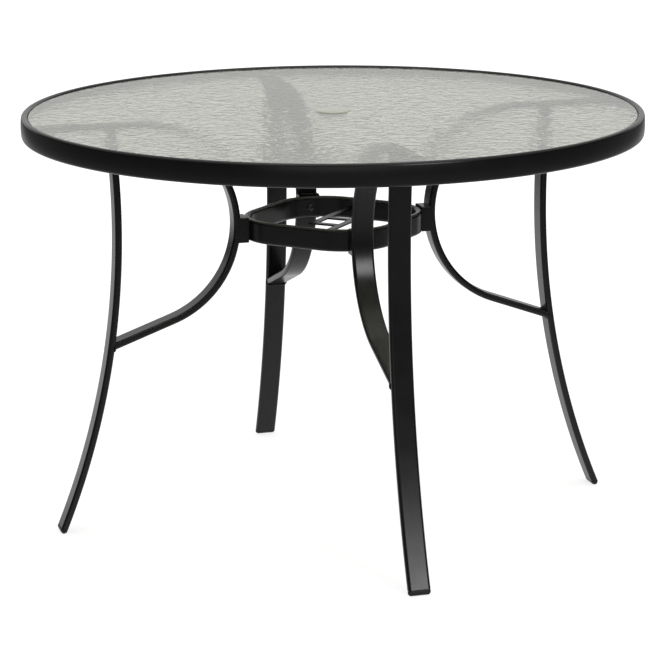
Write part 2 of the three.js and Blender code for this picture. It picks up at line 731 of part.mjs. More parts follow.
// Hoop with a hole for each bracket's bolt and each guide bar's rivet.
let hoopSolid = hoopBand();
for (let k = 0; k < LEG_COUNT; k += 1) {
  const hole = levelCylinder(BOLT_HOLE_RADIUS, HOOP_INNER_REACH - CUT_OVERRUN, HOOP_REACH + CUT_OVERRUN, HOOP_Z);
  hole.rotateZ((2 * Math.PI * k) / LEG_COUNT);
  hoopSolid = hoopSolid.subtract(toSolid(hole));
}
const rivetPocket = rivetHole(HOOP_INNER_SIDE - CUT_OVERRUN, HOOP_INNER_SIDE + RIVET_DEPTH);
hoopSolid = hoopSolid.subtract(rivetPocket).subtract(halfTurn(rivetPocket));
addPiece(table, 'centre_hoop', toGeometry(hoopSolid), powderCoat);

// The two guide bars are the same piece, turned half round.
for (let k = 0; k < 2; k += 1) {
  const side = new THREE.Group();
  side.rotation.z = Math.PI * k;
  addPiece(side, `guide_bar_${k + 1}`, toGeometry(guideBarSolid), powderCoat);
  addPiece(side, `guide_rivet_${k + 1}`, guideRivet(), darkSteel);
  table.add(side);
}

// The four leg frames.
const tabSolid = rimTab();
for (let k = 0; k < LEG_COUNT; k += 1) {
  const frame = new THREE.Group();
  frame.rotation.z = (2 * Math.PI * k) / LEG_COUNT;
  const id = k + 1;
  addPiece(frame, `leg_${id}`, toGeometry(legSolid), powderCoat);
  addPiece(frame, `brace_${id}`, toGeometry(braceSolid), powderCoat);
  addPiece(frame, `foot_cap_${id}`, toGeometry(footCapSolid), blackPlastic);
  addPiece(frame, `hoop_bracket_${id}`, toGeometry(bracketSolid), powderCoat);
  addPiece(frame, `hoop_bolt_${id}`, hoopBolt(), darkSteel);
  addPiece(frame, `rim_tab_${id}`, toGeometry(tabSolid), powderCoat);
  addPiece(frame, `tab_bolt_${id}`, tabBolt(), darkSteel);
  addPiece(frame, `glass_pad_${id}`, pad(), clearVinyl);
  table.add(frame);
}

export default table;
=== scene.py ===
"""A round patio table with a rippled glass top, dressed over its fixed frame.

All lengths are metres, and the frame's own axes are used: +Z up, the four legs on the X and Y axes.
"""

import math

import bmesh
import bpy
from mathutils import Matrix, Vector


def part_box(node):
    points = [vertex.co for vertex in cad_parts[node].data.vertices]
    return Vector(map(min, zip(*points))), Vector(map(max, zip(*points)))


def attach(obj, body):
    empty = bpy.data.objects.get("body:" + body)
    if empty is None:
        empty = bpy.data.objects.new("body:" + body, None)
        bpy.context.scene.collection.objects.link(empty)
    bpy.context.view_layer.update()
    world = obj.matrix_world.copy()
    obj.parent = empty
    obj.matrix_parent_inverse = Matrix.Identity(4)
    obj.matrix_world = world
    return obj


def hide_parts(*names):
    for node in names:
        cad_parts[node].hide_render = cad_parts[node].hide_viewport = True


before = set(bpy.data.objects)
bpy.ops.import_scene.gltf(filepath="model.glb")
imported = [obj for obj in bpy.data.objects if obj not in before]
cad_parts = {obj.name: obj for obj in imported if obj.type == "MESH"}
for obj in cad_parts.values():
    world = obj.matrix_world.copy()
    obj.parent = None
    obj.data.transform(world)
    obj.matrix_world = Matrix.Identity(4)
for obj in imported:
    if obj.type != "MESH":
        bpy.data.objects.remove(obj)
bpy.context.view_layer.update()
scene = bpy.context.scene

# Sizes.

TUBE_WIDTH = 0.038
TUBE_THICKNESS = 0.012
TUBE_CORNER = 0.005
TUBE_CORNER_STEPS = 8
FIT_GAP = 0.0003

rim_low, rim_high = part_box("rim_frame")
glass_low, glass_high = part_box("glass_top")
hoop_low, hoop_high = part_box("centre_hoop")

LEG_COUNT = 4
LEG_WAIST_REACH = 0.3817
LEG_WAIST_HEIGHT = 0.540
LEG_BOW_RADIUS = 1.370

BRACE_REACH = 0.1752
BRACE_UPPER_RADIUS = 0.170
BRACE_LOWER_RADIUS = 0.172
BRACE_FOOT_SLOPE = math.radians(20)
RUN_Z = 0.6957

HOOP_REACH = 0.1577
HOOP_CORNER_RADIUS = 0.0935

HOLE_RADIUS = 0.025

# Edges, play and small parts, which the frame's boxes don't give.
RIM_CROWN = 0.0009
LEG_LOW_TRIM = 0.0025
LEG_TOP_REACH = 0.0004
BRACE_FOOT_INSET = 0.0035
BRACE_FOOT_STEP = 0.0005
GLASS_EDGE = 0.0012
HOLE_EDGE = 0.0004
RIPPLE_DEPTH = 0.0009
SADDLE_EDGE = 0.0012
GUIDE_EDGE = 0.0007
RIM_TAB_EDGE = 0.0005

PLUG_STEM_PLAY = 0.0005
PLUG_WALL = 0.002
PLUG_LIP = 0.0008

PAD_EDGE = 0.0004
PAD_SHOULDER = 0.0012

CAP_COLLAR = 0.002
CAP_EDGE = 0.0004
CAP_STEP = 0.0003
CAP_SINK = 0.0005
CAP_CHORD = 0.022
CAP_PLUG_TOP = 0.016
CAP_PLUG_INSET = 0.0016
NOSE_FLANK = 0.001
NOSE_RINGS = 12
NOSE_QUARTER_RINGS = 12.35

SCREW_HEAD_RADIUS = 0.006
SCREW_HEAD_HEIGHT = 0.004
SCREW_SHANK_RADIUS = 0.003
SCREW_SOCKET_RADIUS = 0.0021
SCREW_EDGE = 0.0003

RIVET_HEAD_RADIUS = 0.004
RIVET_HEAD_HEIGHT = 0.002
RIVET_SHANK_RADIUS = 0.002
RIVET_DIMPLE_RADIUS = 0.0011
RIVET_SLANT = math.radians(45)

BEAD_STEP = 0.0008
BEAD_SPACING = 0.0032
BEAD_UNEVENNESS = 0.35
FOOT_BEAD_RADIUS = 0.0017
FOOT_BEAD_GROW = 0.0004
FOOT_BEAD_SINK = 0.0002
TOP_BEAD_RADIUS = 0.0015
TOP_BEAD_GROW = 0.0003
TOP_BEAD_DROP = 0.0004

QUARTER_TURN = math.pi / 2
SOFT_ANGLE = math.radians(35)

# The camera stands this far away and this high, with the front leg turned aside by this angle.
CAMERA_DISTANCE = 4.44416
CAMERA_HEIGHT = 1.42376
CAMERA_TURN = math.radians(16.016)
VIEW_FORWARD = (math.sin(CAMERA_TURN), math.cos(CAMERA_TURN), 0.0)
VIEW_RIGHT = (math.cos(CAMERA_TURN), -math.sin(CAMERA_TURN), 0.0)
CAMERA_PITCH, CAMERA_YAW, CAMERA_ROLL = 0.24285, -0.00149, -0.00522
CAMERA_SENSOR = 36.0
CAMERA_LENS = 142.451

# Strength of the white surroundings, by the kind of ray that meets them.
SWEEP_MIRRORED = 0.72
CEILING_MIRRORED = (0.05, 0.7)
ROOM_THROUGH_GLASS = 0.66
ROOM_DIFFUSE = 0.7
FLOOR_THROUGH_GLASS = 0.56
FLOOR_MIRRORED = (0.03, 0.75)
FLOOR_NEAR_MIRRORED = 0.2
FLOOR_SEEN = (0.75, 0.95)
FLOOR_REACH = 60.0
FLOOR_DROP = 0.0004


# Helpers for node trees.

def new_node(tree, kind, inputs=None, **settings):
    """A node with its settings and its inputs, which are values or the sockets that feed them."""
    node = tree.nodes.new(kind)
    for name, value in settings.items():
        setattr(node, name, value)
    for name, value in (inputs or {}).items():
        socket = node.inputs[name]
        if isinstance(value, bpy.types.NodeSocket):
            tree.links.new(value, socket)
        else:
            socket.default_value = value
    return node


def math_node(tree, operation, first, second=0.0, clamp=False):
    node = new_node(tree, "ShaderNodeMath", {0: first, 1: second}, operation=operation, use_clamp=clamp)
    return node.outputs[0]


def ramp(tree, value, start, end, low=0.0, high=1.0, smooth=False):
    """Runs from low to high while the value goes from start to end, and stays level outside."""
    node = new_node(tree, "ShaderNodeMapRange",
                    {"Value": value, "From Min": start, "From Max": end, "To Min": low, "To Max": high},
                    interpolation_type="SMOOTHSTEP" if smooth else "LINEAR")
    return node.outputs[0]


def vector_value(tree, operation, first, second=None):
    """The number that a vector operation gives."""
    inputs = {0: first} if second is None else {0: first, 1: second}
    return new_node(tree, "ShaderNodeVectorMath", inputs, operation=operation).outputs["Value"]


def new_geometry_tree(name, inputs):
    """An empty geometry tree with the named inputs, and its group input and output nodes."""
    tree = bpy.data.node_groups.new(name, "GeometryNodeTree")
    tree.interface.new_socket("Geometry", in_out="INPUT", socket_type="NodeSocketGeometry")
    for label, kind in inputs:
        tree.interface.new_socket(label, in_out="INPUT", socket_type=kind)
    tree.interface.new_socket("Geometry", in_out="OUTPUT", socket_type="NodeSocketGeometry")
    return tree, tree.nodes.new("NodeGroupInput"), tree.nodes.new("NodeGroupOutput")


def set_inputs(modifier, values):
    """Sets a geometry modifier's inputs, found by name and written by identifier."""
    for item in modifier.node_group.interface.items_tree:
        if item.item_type == "SOCKET" and item.in_out == "INPUT" and item.name in values:
            modifier[item.identifier] = values[item.name]


# Geometry trees.

def real_and_coated(tree, geometry, inlet, outlet):
    """Ends a tree: instances made real, then the finish."""
    real = new_node(tree, "GeometryNodeRealizeInstances", {"Geometry": geometry})
    coated = new_node(tree, "GeometryNodeSetMaterial",
                      {"Geometry": real.outputs[0], "Material": inlet.outputs["Finish"]})
    tree.links.new(coated.outputs[0], outlet.inputs[0])
    return tree


def flat_tube_tree():
    """Sweeps the flat tube's rounded section along a curve."""
    tree, inlet, outlet = new_geometry_tree("flat_tube_sweep", [
        ("Width", "NodeSocketFloat"), ("Thickness", "NodeSocketFloat"), ("Corner", "NodeSocketFloat"),
        ("Corner Steps", "NodeSocketInt"), ("Turn", "NodeSocketRotation"),
        ("Finish", "NodeSocketMaterial"),
    ])
    section = new_node(tree, "GeometryNodeCurvePrimitiveQuadrilateral",
                       {"Width": inlet.outputs["Width"], "Height": inlet.outputs["Thickness"]},
                       mode="RECTANGLE")
    rounded = new_node(tree, "GeometryNodeFilletCurve",
                       {"Curve": section.outputs[0], "Count": inlet.outputs["Corner Steps"],
                        "Radius": inlet.outputs["Corner"], "Limit Radius": True}, mode="POLY")
    swept = new_node(tree, "GeometryNodeCurveToMesh",
                     {"Curve": inlet.outputs["Geometry"], "Profile Curve": rounded.outputs[0],
                      "Fill Caps": True})
    turned = new_node(tree, "GeometryNodeTransform",
                      {"Geometry": swept.outputs[0], "Rotation": inlet.outputs["Turn"]})
    smooth = new_node(tree, "GeometryNodeSetShadeSmooth", {"Geometry": turned.outputs[0]})
    return real_and_coated(tree, smooth.outputs[0], inlet, outlet)


def weld_bead_tree():
    """Lays a round weld bead with overlapping ripples and some unevenness along a closed curve."""
    tree, inlet, outlet = new_geometry_tree("weld_bead", [
        ("Bead Radius", "NodeSocketFloat"), ("Ripple Spacing", "NodeSocketFloat"),
        ("Unevenness", "NodeSocketFloat"), ("Seed", "NodeSocketFloat"),
        ("Finish", "NodeSocketMaterial"),
    ])
    laid = new_node(tree, "GeometryNodeResampleCurve",
                    {"Curve": inlet.outputs["Geometry"], "Length": BEAD_STEP}, mode="LENGTH")
    along = new_node(tree, "GeometryNodeSplineParameter")
    phase = math_node(tree, "DIVIDE", along.outputs["Length"], inlet.outputs["Ripple Spacing"])
    swing = math_node(tree, "MULTIPLY", phase, math.pi)
    wave = math_node(tree, "ABSOLUTE", math_node(tree, "SINE", swing))
    place = new_node(tree, "GeometryNodeInputPosition")
    lumps = new_node(tree, "ShaderNodeTexNoise",
                     {"Vector": place.outputs[0], "W": inlet.outputs["Seed"], "Scale": 160.0,
                      "Detail": 1.0}, noise_dimensions="4D")
    uneven = math_node(tree, "MULTIPLY", math_node(tree, "SUBTRACT", lumps.outputs["Fac"], 0.5),
                       inlet.outputs["Unevenness"])
    ripple = math_node(tree, "MULTIPLY_ADD", wave, 0.16)
    ripple.node.inputs[2].default_value = 0.84
    shape = math_node(tree, "ADD", ripple, uneven)
    size = math_node(tree, "MULTIPLY", inlet.outputs["Bead Radius"], shape)
    thick = new_node(tree, "GeometryNodeSetCurveRadius", {"Curve": laid.outputs[0], "Radius": size})
    round_section = new_node(tree, "GeometryNodeCurvePrimitiveCircle",
                             {"Resolution": 10, "Radius": 1.0}, mode="RADIUS")
    radius = new_node(tree, "GeometryNodeInputRadius")
    swept = new_node(tree, "GeometryNodeCurveToMesh",
                     {"Curve": thick.outputs[0], "Profile Curve": round_section.outputs[0],
                      "Scale": radius.outputs[0]})
    smooth = new_node(tree, "GeometryNodeSetShadeSmooth", {"Geometry": swept.outputs[0]})
    return real_and_coated(tree, smooth.outputs[0], inlet, outlet)


def turned_copies_tree():
    """Repeats a fastener round the table's axis."""
    tree, inlet, outlet = new_geometry_tree("turned_copies", [
        ("Count", "NodeSocketInt"), ("Finish", "NodeSocketMaterial"),
    ])
    points = new_node(tree, "GeometryNodePoints", {"Count": inlet.outputs["Count"]})
    index = new_node(tree, "GeometryNodeInputIndex")
    step = math_node(tree, "DIVIDE", 2 * math.pi, inlet.outputs["Count"])
    angle = math_node(tree, "MULTIPLY", index.outputs[0], step)
    turn = new_node(tree, "ShaderNodeCombineXYZ", {"Z": angle})
    placed = new_node(tree, "GeometryNodeInstanceOnPoints",
                      {"Points": points.outputs[0], "Instance": inlet.outputs["Geometry"],
                       "Rotation": turn.outputs[0]})
    return real_and_coated(tree, placed.outputs[0], inlet, outlet)


# Shader groups.

def new_shader_group(name, inputs, outputs):
    tree = bpy.data.node_groups.new(name, "ShaderNodeTree")
    for label, value in inputs:
        socket = tree.interface.new_socket(label, in_out="INPUT", socket_type="NodeSocketFloat")
        socket.default_value = value
    for label, kind in outputs:
        tree.interface.new_socket(label, in_out="OUTPUT", socket_type=kind)
    return tree, tree.nodes.new("NodeGroupInput"), tree.nodes.new("NodeGroupOutput")


def fine_texture_group():
    """The orange peel of a sprayed or moulded surface, with broad clouding of its gloss."""
    tree, inlet, outlet = new_shader_group(
        "fine_texture",
        [("Peel Scale", 700.0), ("Cloud Scale", 14.0)],
        [("Peel", "NodeSocketFloat"), ("Clouding", "NodeSocketFloat")],
    )
    place = new_node(tree, "ShaderNodeTexCoord").outputs["Object"]
    peel = new_node(tree, "ShaderNodeTexNoise",
                    {"Vector": place, "Scale": inlet.outputs["Peel Scale"], "Detail": 2.0,
                     "Roughness": 0.45})
    clouds = new_node(tree, "ShaderNodeTexNoise",
                      {"Vector": place, "Scale": inlet.outputs["Cloud Scale"], "Detail": 4.0,
                       "Roughness": 0.6})
    tree.links.new(peel.outputs["Fac"], outlet.inputs["Peel"])
    tree.links.new(clouds.outputs["Fac"], outlet.inputs["Clouding"])
    return tree


def settled_dust_group():
    """A mask of fine dust on faces that look up, broken up by a soft pattern."""
    tree, inlet, outlet = new_shader_group(
        "settled_dust", [("Amount", 0.2), ("Patch Scale", 30.0)], [("Dust", "NodeSocketFloat")],
    )
    geometry = new_node(tree, "ShaderNodeNewGeometry")
    up = new_node(tree, "ShaderNodeSeparateXYZ", {"Vector": geometry.outputs["Normal"]}).outputs["Z"]
    facing = ramp(tree, up, 0.35, 1.0, smooth=True)
    place = new_node(tree, "ShaderNodeTexCoord").outputs["Object"]
    patches = new_node(tree, "ShaderNodeTexNoise",
                       {"Vector": place, "Scale": inlet.outputs["Patch Scale"], "Detail": 5.0,
                        "Roughness": 0.65})
    broken = math_node(tree, "MULTIPLY", facing, patches.outputs["Fac"])
    dust = math_node(tree, "MULTIPLY", broken, inlet.outputs["Amount"], clamp=True)
    tree.links.new(dust, outlet.inputs["Dust"])
    return tree


fine_texture = fine_texture_group()
settled_dust = settled_dust_group()


# Materials.

def new_material(name):
    material = bpy.data.materials.new(name)
    material.use_nodes = True
    tree = material.node_tree
    return material, tree, tree.nodes["Principled BSDF"]


def use_group(tree, group, values):
    node = new_node(tree, "ShaderNodeGroup", node_tree=group)
    for name, value in values.items():
        node.inputs[name].default_value = value
    return node


def mix_colours(tree, factor, first, second):
    node = new_node(tree, "ShaderNodeMix", data_type="RGBA")
    for slot, value in ((0, factor), (6, first), (7, second)):
        if isinstance(value, bpy.types.NodeSocket):
            tree.links.new(value, node.inputs[slot])
        else:
            node.inputs[slot].default_value = value
    return node.outputs[2]


def set_bump(tree, shader, height, depth):
    bump = new_node(tree, "ShaderNodeBump", {"Height": height, "Distance": depth})
    tree.links.new(bump.outputs[0], shader.inputs["Normal"])


def set_values(shader, values):
    for name, value in values.items():
        shader.inputs[name].default_value = value


def sprayed_finish(name, dark, light, roughness, gloss, peel_scale, peel_depth, dust, specular,
                   metallic=0.0):
    """Powder coat, plated steel or hard plastic: peel in the normal, clouding in colour and gloss."""
    material, tree, shader = new_material(name)
    texture = use_group(tree, fine_texture, {"Peel Scale": peel_scale})
    film = use_group(tree, settled_dust, {"Amount": dust})
    body = mix_colours(tree, texture.outputs["Clouding"], (*dark, 1), (*light, 1))
    dusted = mix_colours(tree, film.outputs["Dust"], body, (0.16, 0.155, 0.145, 1))
    tree.links.new(dusted, shader.inputs["Base Color"])
    rough = ramp(tree, texture.outputs["Clouding"], 0.3, 0.7, roughness - gloss, roughness + gloss)
    dulling = math_node(tree, "MULTIPLY", film.outputs["Dust"], 0.5)
    dull = math_node(tree, "ADD", rough, dulling, clamp=True)
    tree.links.new(dull, shader.inputs["Roughness"])
    set_bump(tree, shader, texture.outputs["Peel"], peel_depth)
    set_values(shader, {"Specular IOR Level": specular, "Metallic": metallic})
    return material


def wavy_glass_material():
    """Obscure glass: rows of soft ripples that bend and blur what lies below."""
    material, tree, shader = new_material("wavy_glass")
    place = new_node(tree, "ShaderNodeTexCoord").outputs["Object"]
    turned = new_node(tree, "ShaderNodeMapping",
                      {"Vector": place, "Rotation": (0, 0, math.radians(16)), "Scale": (1.0, 1.2, 0.0)})
    waves = new_node(tree, "ShaderNodeTexNoise",
                     {"Vector": turned.outputs[0], "Scale": 60.0, "Detail": 0.6, "Roughness": 0.4,
                      "Distortion": 0.9})
    crests = new_node(tree, "ShaderNodeTexVoronoi",
                      {"Vector": turned.outputs[0], "Scale": 76.0, "Smoothness": 0.7,
                       "Randomness": 1.0}, feature="SMOOTH_F1")
    height = math_node(tree, "ADD", waves.outputs["Fac"],
                       math_node(tree, "MULTIPLY", crests.outputs["Distance"], 0.35))
    # The upper face is nearly smooth: the ripples are rolled into the underside.
    level = new_node(tree, "ShaderNodeSeparateXYZ", {"Vector": place}).outputs["Z"]
    share = ramp(tree, level, glass_low.z, glass_high.z, 1.0, 0.2)
    set_bump(tree, shader, math_node(tree, "MULTIPLY", height, share), RIPPLE_DEPTH)
    haze = new_node(tree, "ShaderNodeTexNoise", {"Vector": place, "Scale": 3.0, "Detail": 3.0})
    tint = mix_colours(tree, haze.outputs["Fac"], (0.80, 0.82, 0.70, 1), (0.83, 0.85, 0.73, 1))
    tree.links.new(tint, shader.inputs["Base Color"])
    tree.links.new(ramp(tree, waves.outputs["Fac"], 0.0, 1.0, 0.045, 0.065), shader.inputs["Roughness"])
    set_values(shader, {"IOR": 1.5, "Transmission Weight": 0.95})
    return material


def moulded_finish(name, dark, light, peel_scale, cloud_scale, peel_depth, values):
    """Soft or milky plastic: peel in the normal, clouding in the colour, the rest as given."""
    material, tree, shader = new_material(name)
    texture = use_group(tree, fine_texture, {"Peel Scale": peel_scale, "Cloud Scale": cloud_scale})
    colour = mix_colours(tree, texture.outputs["Clouding"], (*dark, 1), (*light, 1))
    tree.links.new(colour, shader.inputs["Base Color"])
    set_bump(tree, shader, texture.outputs["Peel"], peel_depth)
    set_values(shader, values)
    return material


powder_coat = sprayed_finish(
    "frame_coat", dark=(0.0046, 0.0044, 0.0043), light=(0.0066, 0.0063, 0.0062),
    roughness=0.24, gloss=0.025, peel_scale=850.0, peel_depth=0.00004, dust=0.03, specular=0.36)
cap_plastic = sprayed_finish(
    "cap_plastic", dark=(0.006, 0.006, 0.006), light=(0.010, 0.010, 0.010),
    roughness=0.46, gloss=0.04, peel_scale=1500.0, peel_depth=0.00005, dust=0.03, specular=0.35)
fastener_steel = sprayed_finish(
    "fastener_steel", dark=(0.030, 0.030, 0.028), light=(0.055, 0.054, 0.050),
    roughness=0.30, gloss=0.06, peel_scale=1100.0, peel_depth=0.00003, dust=0.02, specular=0.5,
    metallic=0.8)
wavy_glass = wavy_glass_material()
# Milky plastic that lets light through.
plug_plastic = moulded_finish(
    "plug_plastic", dark=(0.47, 0.475, 0.40), light=(0.53, 0.535, 0.45),
    peel_scale=900.0, cloud_scale=40.0, peel_depth=0.00005,
    values={"Roughness": 0.34, "Subsurface Weight": 1.0, "Subsurface Radius": (0.014, 0.014, 0.013),
            "Subsurface Scale": 1.0})
# Clear soft vinyl with a slight haze.
pad_vinyl = moulded_finish(
    "pad_vinyl", dark=(0.80, 0.81, 0.77), light=(0.86, 0.87, 0.84),
    peel_scale=500.0, cloud_scale=60.0, peel_depth=0.0001,
    values={"Roughness": 0.25, "IOR": 1.45, "Transmission Weight": 0.7})

tube_sweep = flat_tube_tree()
weld_bead = weld_bead_tree()
turned_copies = turned_copies_tree()


# Making pieces.

def add_object(name, data):
    item = bpy.data.objects.new(name, data)
    scene.collection.objects.link(item)
    return item


def mesh_of(shell, name, material, sharp_angle=SOFT_ANGLE):
    """The shell as a mesh with its faces turned outwards. The shell is freed."""
    bmesh.ops.recalc_face_normals(shell, faces=shell.faces)
    mesh = bpy.data.meshes.new(name)
    shell.to_mesh(mesh)
    shell.free()
    mesh.materials.append(material)
    mesh.set_sharp_from_angle(angle=sharp_angle)
    return mesh


def finished(source, name, sharp_angle=SOFT_ANGLE):
    """The evaluated source as a plain mesh object at the origin. The source is removed."""
    bpy.context.view_layer.update()
    evaluated = source.evaluated_get(bpy.context.evaluated_depsgraph_get())
    mesh = bpy.data.meshes.new_from_object(evaluated)
    mesh.name = name
    mesh.set_sharp_from_angle(angle=sharp_angle)
    piece = add_object(name, mesh)
    bpy.data.objects.remove(source)
    return flatten_shading(piece)


def flatten_shading(piece):
    """Keeps broad faces flat beside their rounded edges."""
    weighted = piece.modifiers.new("flat faces", "WEIGHTED_NORMAL")
    weighted.keep_sharp = True
    weighted.weight = 80
    bpy.context.view_layer.update()
    evaluated = piece.evaluated_get(bpy.context.evaluated_depsgraph_get())
    mesh = bpy.data.meshes.new_from_object(evaluated)
    piece.modifiers.clear()
    old = piece.data
    piece.data = mesh
    bpy.data.meshes.remove(old)
    mesh.name = piece.name
    return piece


def curve_object(name, points, cyclic):
    """A poly curve through the points."""
    data = bpy.data.curves.new(name, "CURVE")
    data.dimensions = "3D"
    spline = data.splines.new("POLY")
    spline.points.add(len(points) - 1)
    for target, point in zip(spline.points, points):
        target.co = (*point, 1.0)
    spline.use_cyclic_u = cyclic
    return add_object(name, data)


def tube_piece(name, points, turn=0.0, cyclic=False, across="Y"):
    """A length of flat tube along a path, turned about the table's axis.

    Its width lies across Y, or along Z for a path in the plane of the floor.
    """
    curve = curve_object(name, points, cyclic)
    width, thickness = (TUBE_WIDTH, TUBE_THICKNESS) if across == "Y" else (TUBE_THICKNESS, TUBE_WIDTH)
    modifier = curve.modifiers.new("sweep", "NODES")
    modifier.node_group = tube_sweep
    set_inputs(modifier, {"Width": width, "Thickness": thickness, "Corner": TUBE_CORNER,
                          "Corner Steps": TUBE_CORNER_STEPS, "Turn": (0.0, 0.0, turn),
                          "Finish": powder_coat})
    return finished(curve, name)


def leg_point(z):
    """A point of the first leg's centreline: an arc that comes nearest to the axis at the waist."""
    sag = math.sqrt(LEG_BOW_RADIUS ** 2 - (z - LEG_WAIST_HEIGHT) ** 2)
    return Vector((LEG_WAIST_REACH + LEG_BOW_RADIUS - sag, 0.0, z))


def brace_path():
    """The brace's centreline from the leg's inner face round both bends and out to the rim."""
    apex_z = RUN_Z - BRACE_UPPER_RADIUS
    swing = QUARTER_TURN - BRACE_FOOT_SLOPE
    lower_centre = BRACE_REACH + BRACE_LOWER_RADIUS
    bend_end = Vector((lower_centre - BRACE_LOWER_RADIUS * math.cos(swing), 0.0,
                       apex_z - BRACE_LOWER_RADIUS * math.sin(swing)))
    direction = Vector((math.cos(BRACE_FOOT_SLOPE), 0.0, -math.sin(BRACE_FOOT_SLOPE)))
    foot = bend_end.copy()
    while foot.x < leg_point(foot.z).x - BRACE_FOOT_INSET:
        foot += direction * BRACE_FOOT_STEP
    run_steps, bend_steps = 12, 64
    points = [foot + (bend_end - foot) * (i / run_steps) for i in range(run_steps)]
    for i in range(bend_steps):
        angle = swing * (1 - i / bend_steps)
        points.append(Vector((lower_centre - BRACE_LOWER_RADIUS * math.cos(angle), 0.0,
                              apex_z - BRACE_LOWER_RADIUS * math.sin(angle))))
    upper_centre = BRACE_REACH + BRACE_UPPER_RADIUS
    for i in range(bend_steps + 1):
        angle = QUARTER_TURN * (i / bend_steps)
        points.append(Vector((upper_centre - BRACE_UPPER_RADIUS * math.cos(angle), 0.0,
                              apex_z + BRACE_UPPER_RADIUS * math.sin(angle))))
    start = points[-1].x
    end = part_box("brace_1")[1].x
    points += [Vector((start + (end - start) * i / run_steps, 0.0, RUN_Z))
               for i in range(1, run_steps + 1)]
    return points


def leg_path(low, high, steps=96):
    return [leg_point(low + (high - low) * i / steps) for i in range(steps + 1)]


def hoop_path(steps=24):
    """The hoop's centreline in plan: a rounded square with its corners on the axes."""
    centre = HOOP_REACH - HOOP_CORNER_RADIUS
    radius = HOOP_CORNER_RADIUS - TUBE_THICKNESS / 2
    z = (hoop_low.z + hoop_high.z) / 2
    points = []
    for corner in range(4):
        facing = QUARTER_TURN * corner
        for i in range(steps + 1):
            angle = facing + QUARTER_TURN / 2 * (2 * i / steps - 1)
            points.append(Vector((centre * math.cos(facing) + radius * math.cos(angle),
                                  centre * math.sin(facing) + radius * math.sin(angle), z)))
    return points


def softened_copy(node, name, material, bevel, segments=3):
    """A copy of a CAD piece with its edges eased."""
    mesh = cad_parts[node].data.copy()
    mesh.name = name
    shell = bmesh.new()
    shell.from_mesh(mesh)
    bmesh.ops.remove_doubles(shell, verts=shell.verts, dist=1e-6)
    bmesh.ops.dissolve_limit(shell, angle_limit=math.radians(1), verts=shell.verts, edges=shell.edges)
    for face in shell.faces:
        face.smooth = True
    shell.to_mesh(mesh)
    shell.free()
    mesh.materials.clear()
    mesh.materials.append(material)
    source = add_object(name, mesh)
    eased = source.modifiers.new("eased edges", "BEVEL")
    eased.width = bevel
    eased.segments = segments
    eased.limit_method = "ANGLE"
    eased.angle_limit = math.radians(30)
    return finished(source, name)


def revolved(name, profile, material, steps=96):
    """A body of revolution about Z from (radius, height) pairs, outside upwards."""
    shell = bmesh.new()
    rings = []
    for radius, z in profile:
        if radius < 1e-7:
            rings.append([shell.verts.new((0, 0, z))])
            continue
        angles = [2 * math.pi * k / steps for k in range(steps)]
        rings.append([shell.verts.new((radius * math.cos(angle), radius * math.sin(angle), z))
                      for angle in angles])
    closed = len(rings[0]) > 1
    pairs = list(zip(rings, rings[1:])) + ([(rings[-1], rings[0])] if closed else [])
    for lower, upper in pairs:
        for k in range(steps):
            corners = [lower[k % len(lower)], lower[(k + 1) % len(lower)],
                       upper[(k + 1) % len(upper)], upper[k % len(upper)]]
            corners = [v for i, v in enumerate(corners) if v not in corners[:i]]
            shell.faces.new(corners).smooth = True
    return add_object(name, mesh_of(shell, name, material))


def arc(centre_r, centre_z, radius, start, end, steps):
    """Points of an arc in a (radius, height) profile, with angles in degrees."""
    angles = [math.radians(start + (end - start) * i / steps) for i in range(steps + 1)]
    return [(centre_r + radius * math.cos(angle), centre_z + radius * math.sin(angle))
            for angle in angles]


# Tube frame.

def build_rim():
    """The ring's outer face is slightly crowned, as a flat tube comes out of the rolls."""
    middle = (rim_low.z + rim_high.z) / 2
    across = rim_high.x - TUBE_THICKNESS / 2
    half_width, half_height, corner = TUBE_THICKNESS / 2, TUBE_WIDTH / 2, TUBE_CORNER
    tilt = math.atan(2 * RIM_CROWN / (half_height - corner))
    lean = math.degrees(tilt)
    outer_centre = rim_high.x - RIM_CROWN - corner * math.cos(tilt)
    inner_centre = across - half_width + corner
    top_centre, low_centre = middle + half_height - corner, middle - half_height + corner
    profile = arc(outer_centre, top_centre, corner, lean, 90, 10)
    profile += arc(inner_centre, top_centre, corner, 90, 180, 10)
    profile += arc(inner_centre, low_centre, corner, 180, 270, 10)
    profile += arc(outer_centre, low_centre, corner, 270, 360 - lean, 10)
    reach = half_height - corner + corner * math.sin(tilt)
    for step in range(1, 12):
        height = reach * (step / 6 - 1)
        profile.append((rim_high.x - RIM_CROWN * (height / reach) ** 2, middle + height))
    piece = flatten_shading(revolved("rim_ring", profile, powder_coat, steps=320))
    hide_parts("rim_frame")
    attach(piece, "frame")


def build_legs_and_braces():
    leg_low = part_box("leg_1")[0].z
    run_bottom = RUN_Z - TUBE_THICKNESS / 2
    path = leg_path(leg_low + LEG_LOW_TRIM, run_bottom + LEG_TOP_REACH)
    brace_points = brace_path()
    for k in range(LEG_COUNT):
        turn = QUARTER_TURN * k
        leg = tube_piece(f"leg_tube_{k + 1}", path, turn)
        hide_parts(f"leg_{k + 1}")
        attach(leg, "frame")
        brace = tube_piece(f"brace_tube_{k + 1}", brace_points, turn)
        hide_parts(f"brace_{k + 1}")
        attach(brace, "frame")


def build_hoop():
    hoop = tube_piece("hoop_ring", hoop_path(), cyclic=True, across="Z")
    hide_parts("centre_hoop")
    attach(hoop, "frame")
    for k in range(LEG_COUNT):
        block = softened_copy(f"hoop_bracket_{k + 1}", f"saddle_block_{k + 1}", powder_coat,
                              SADDLE_EDGE)
        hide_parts(f"hoop_bracket_{k + 1}")
        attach(block, "frame")


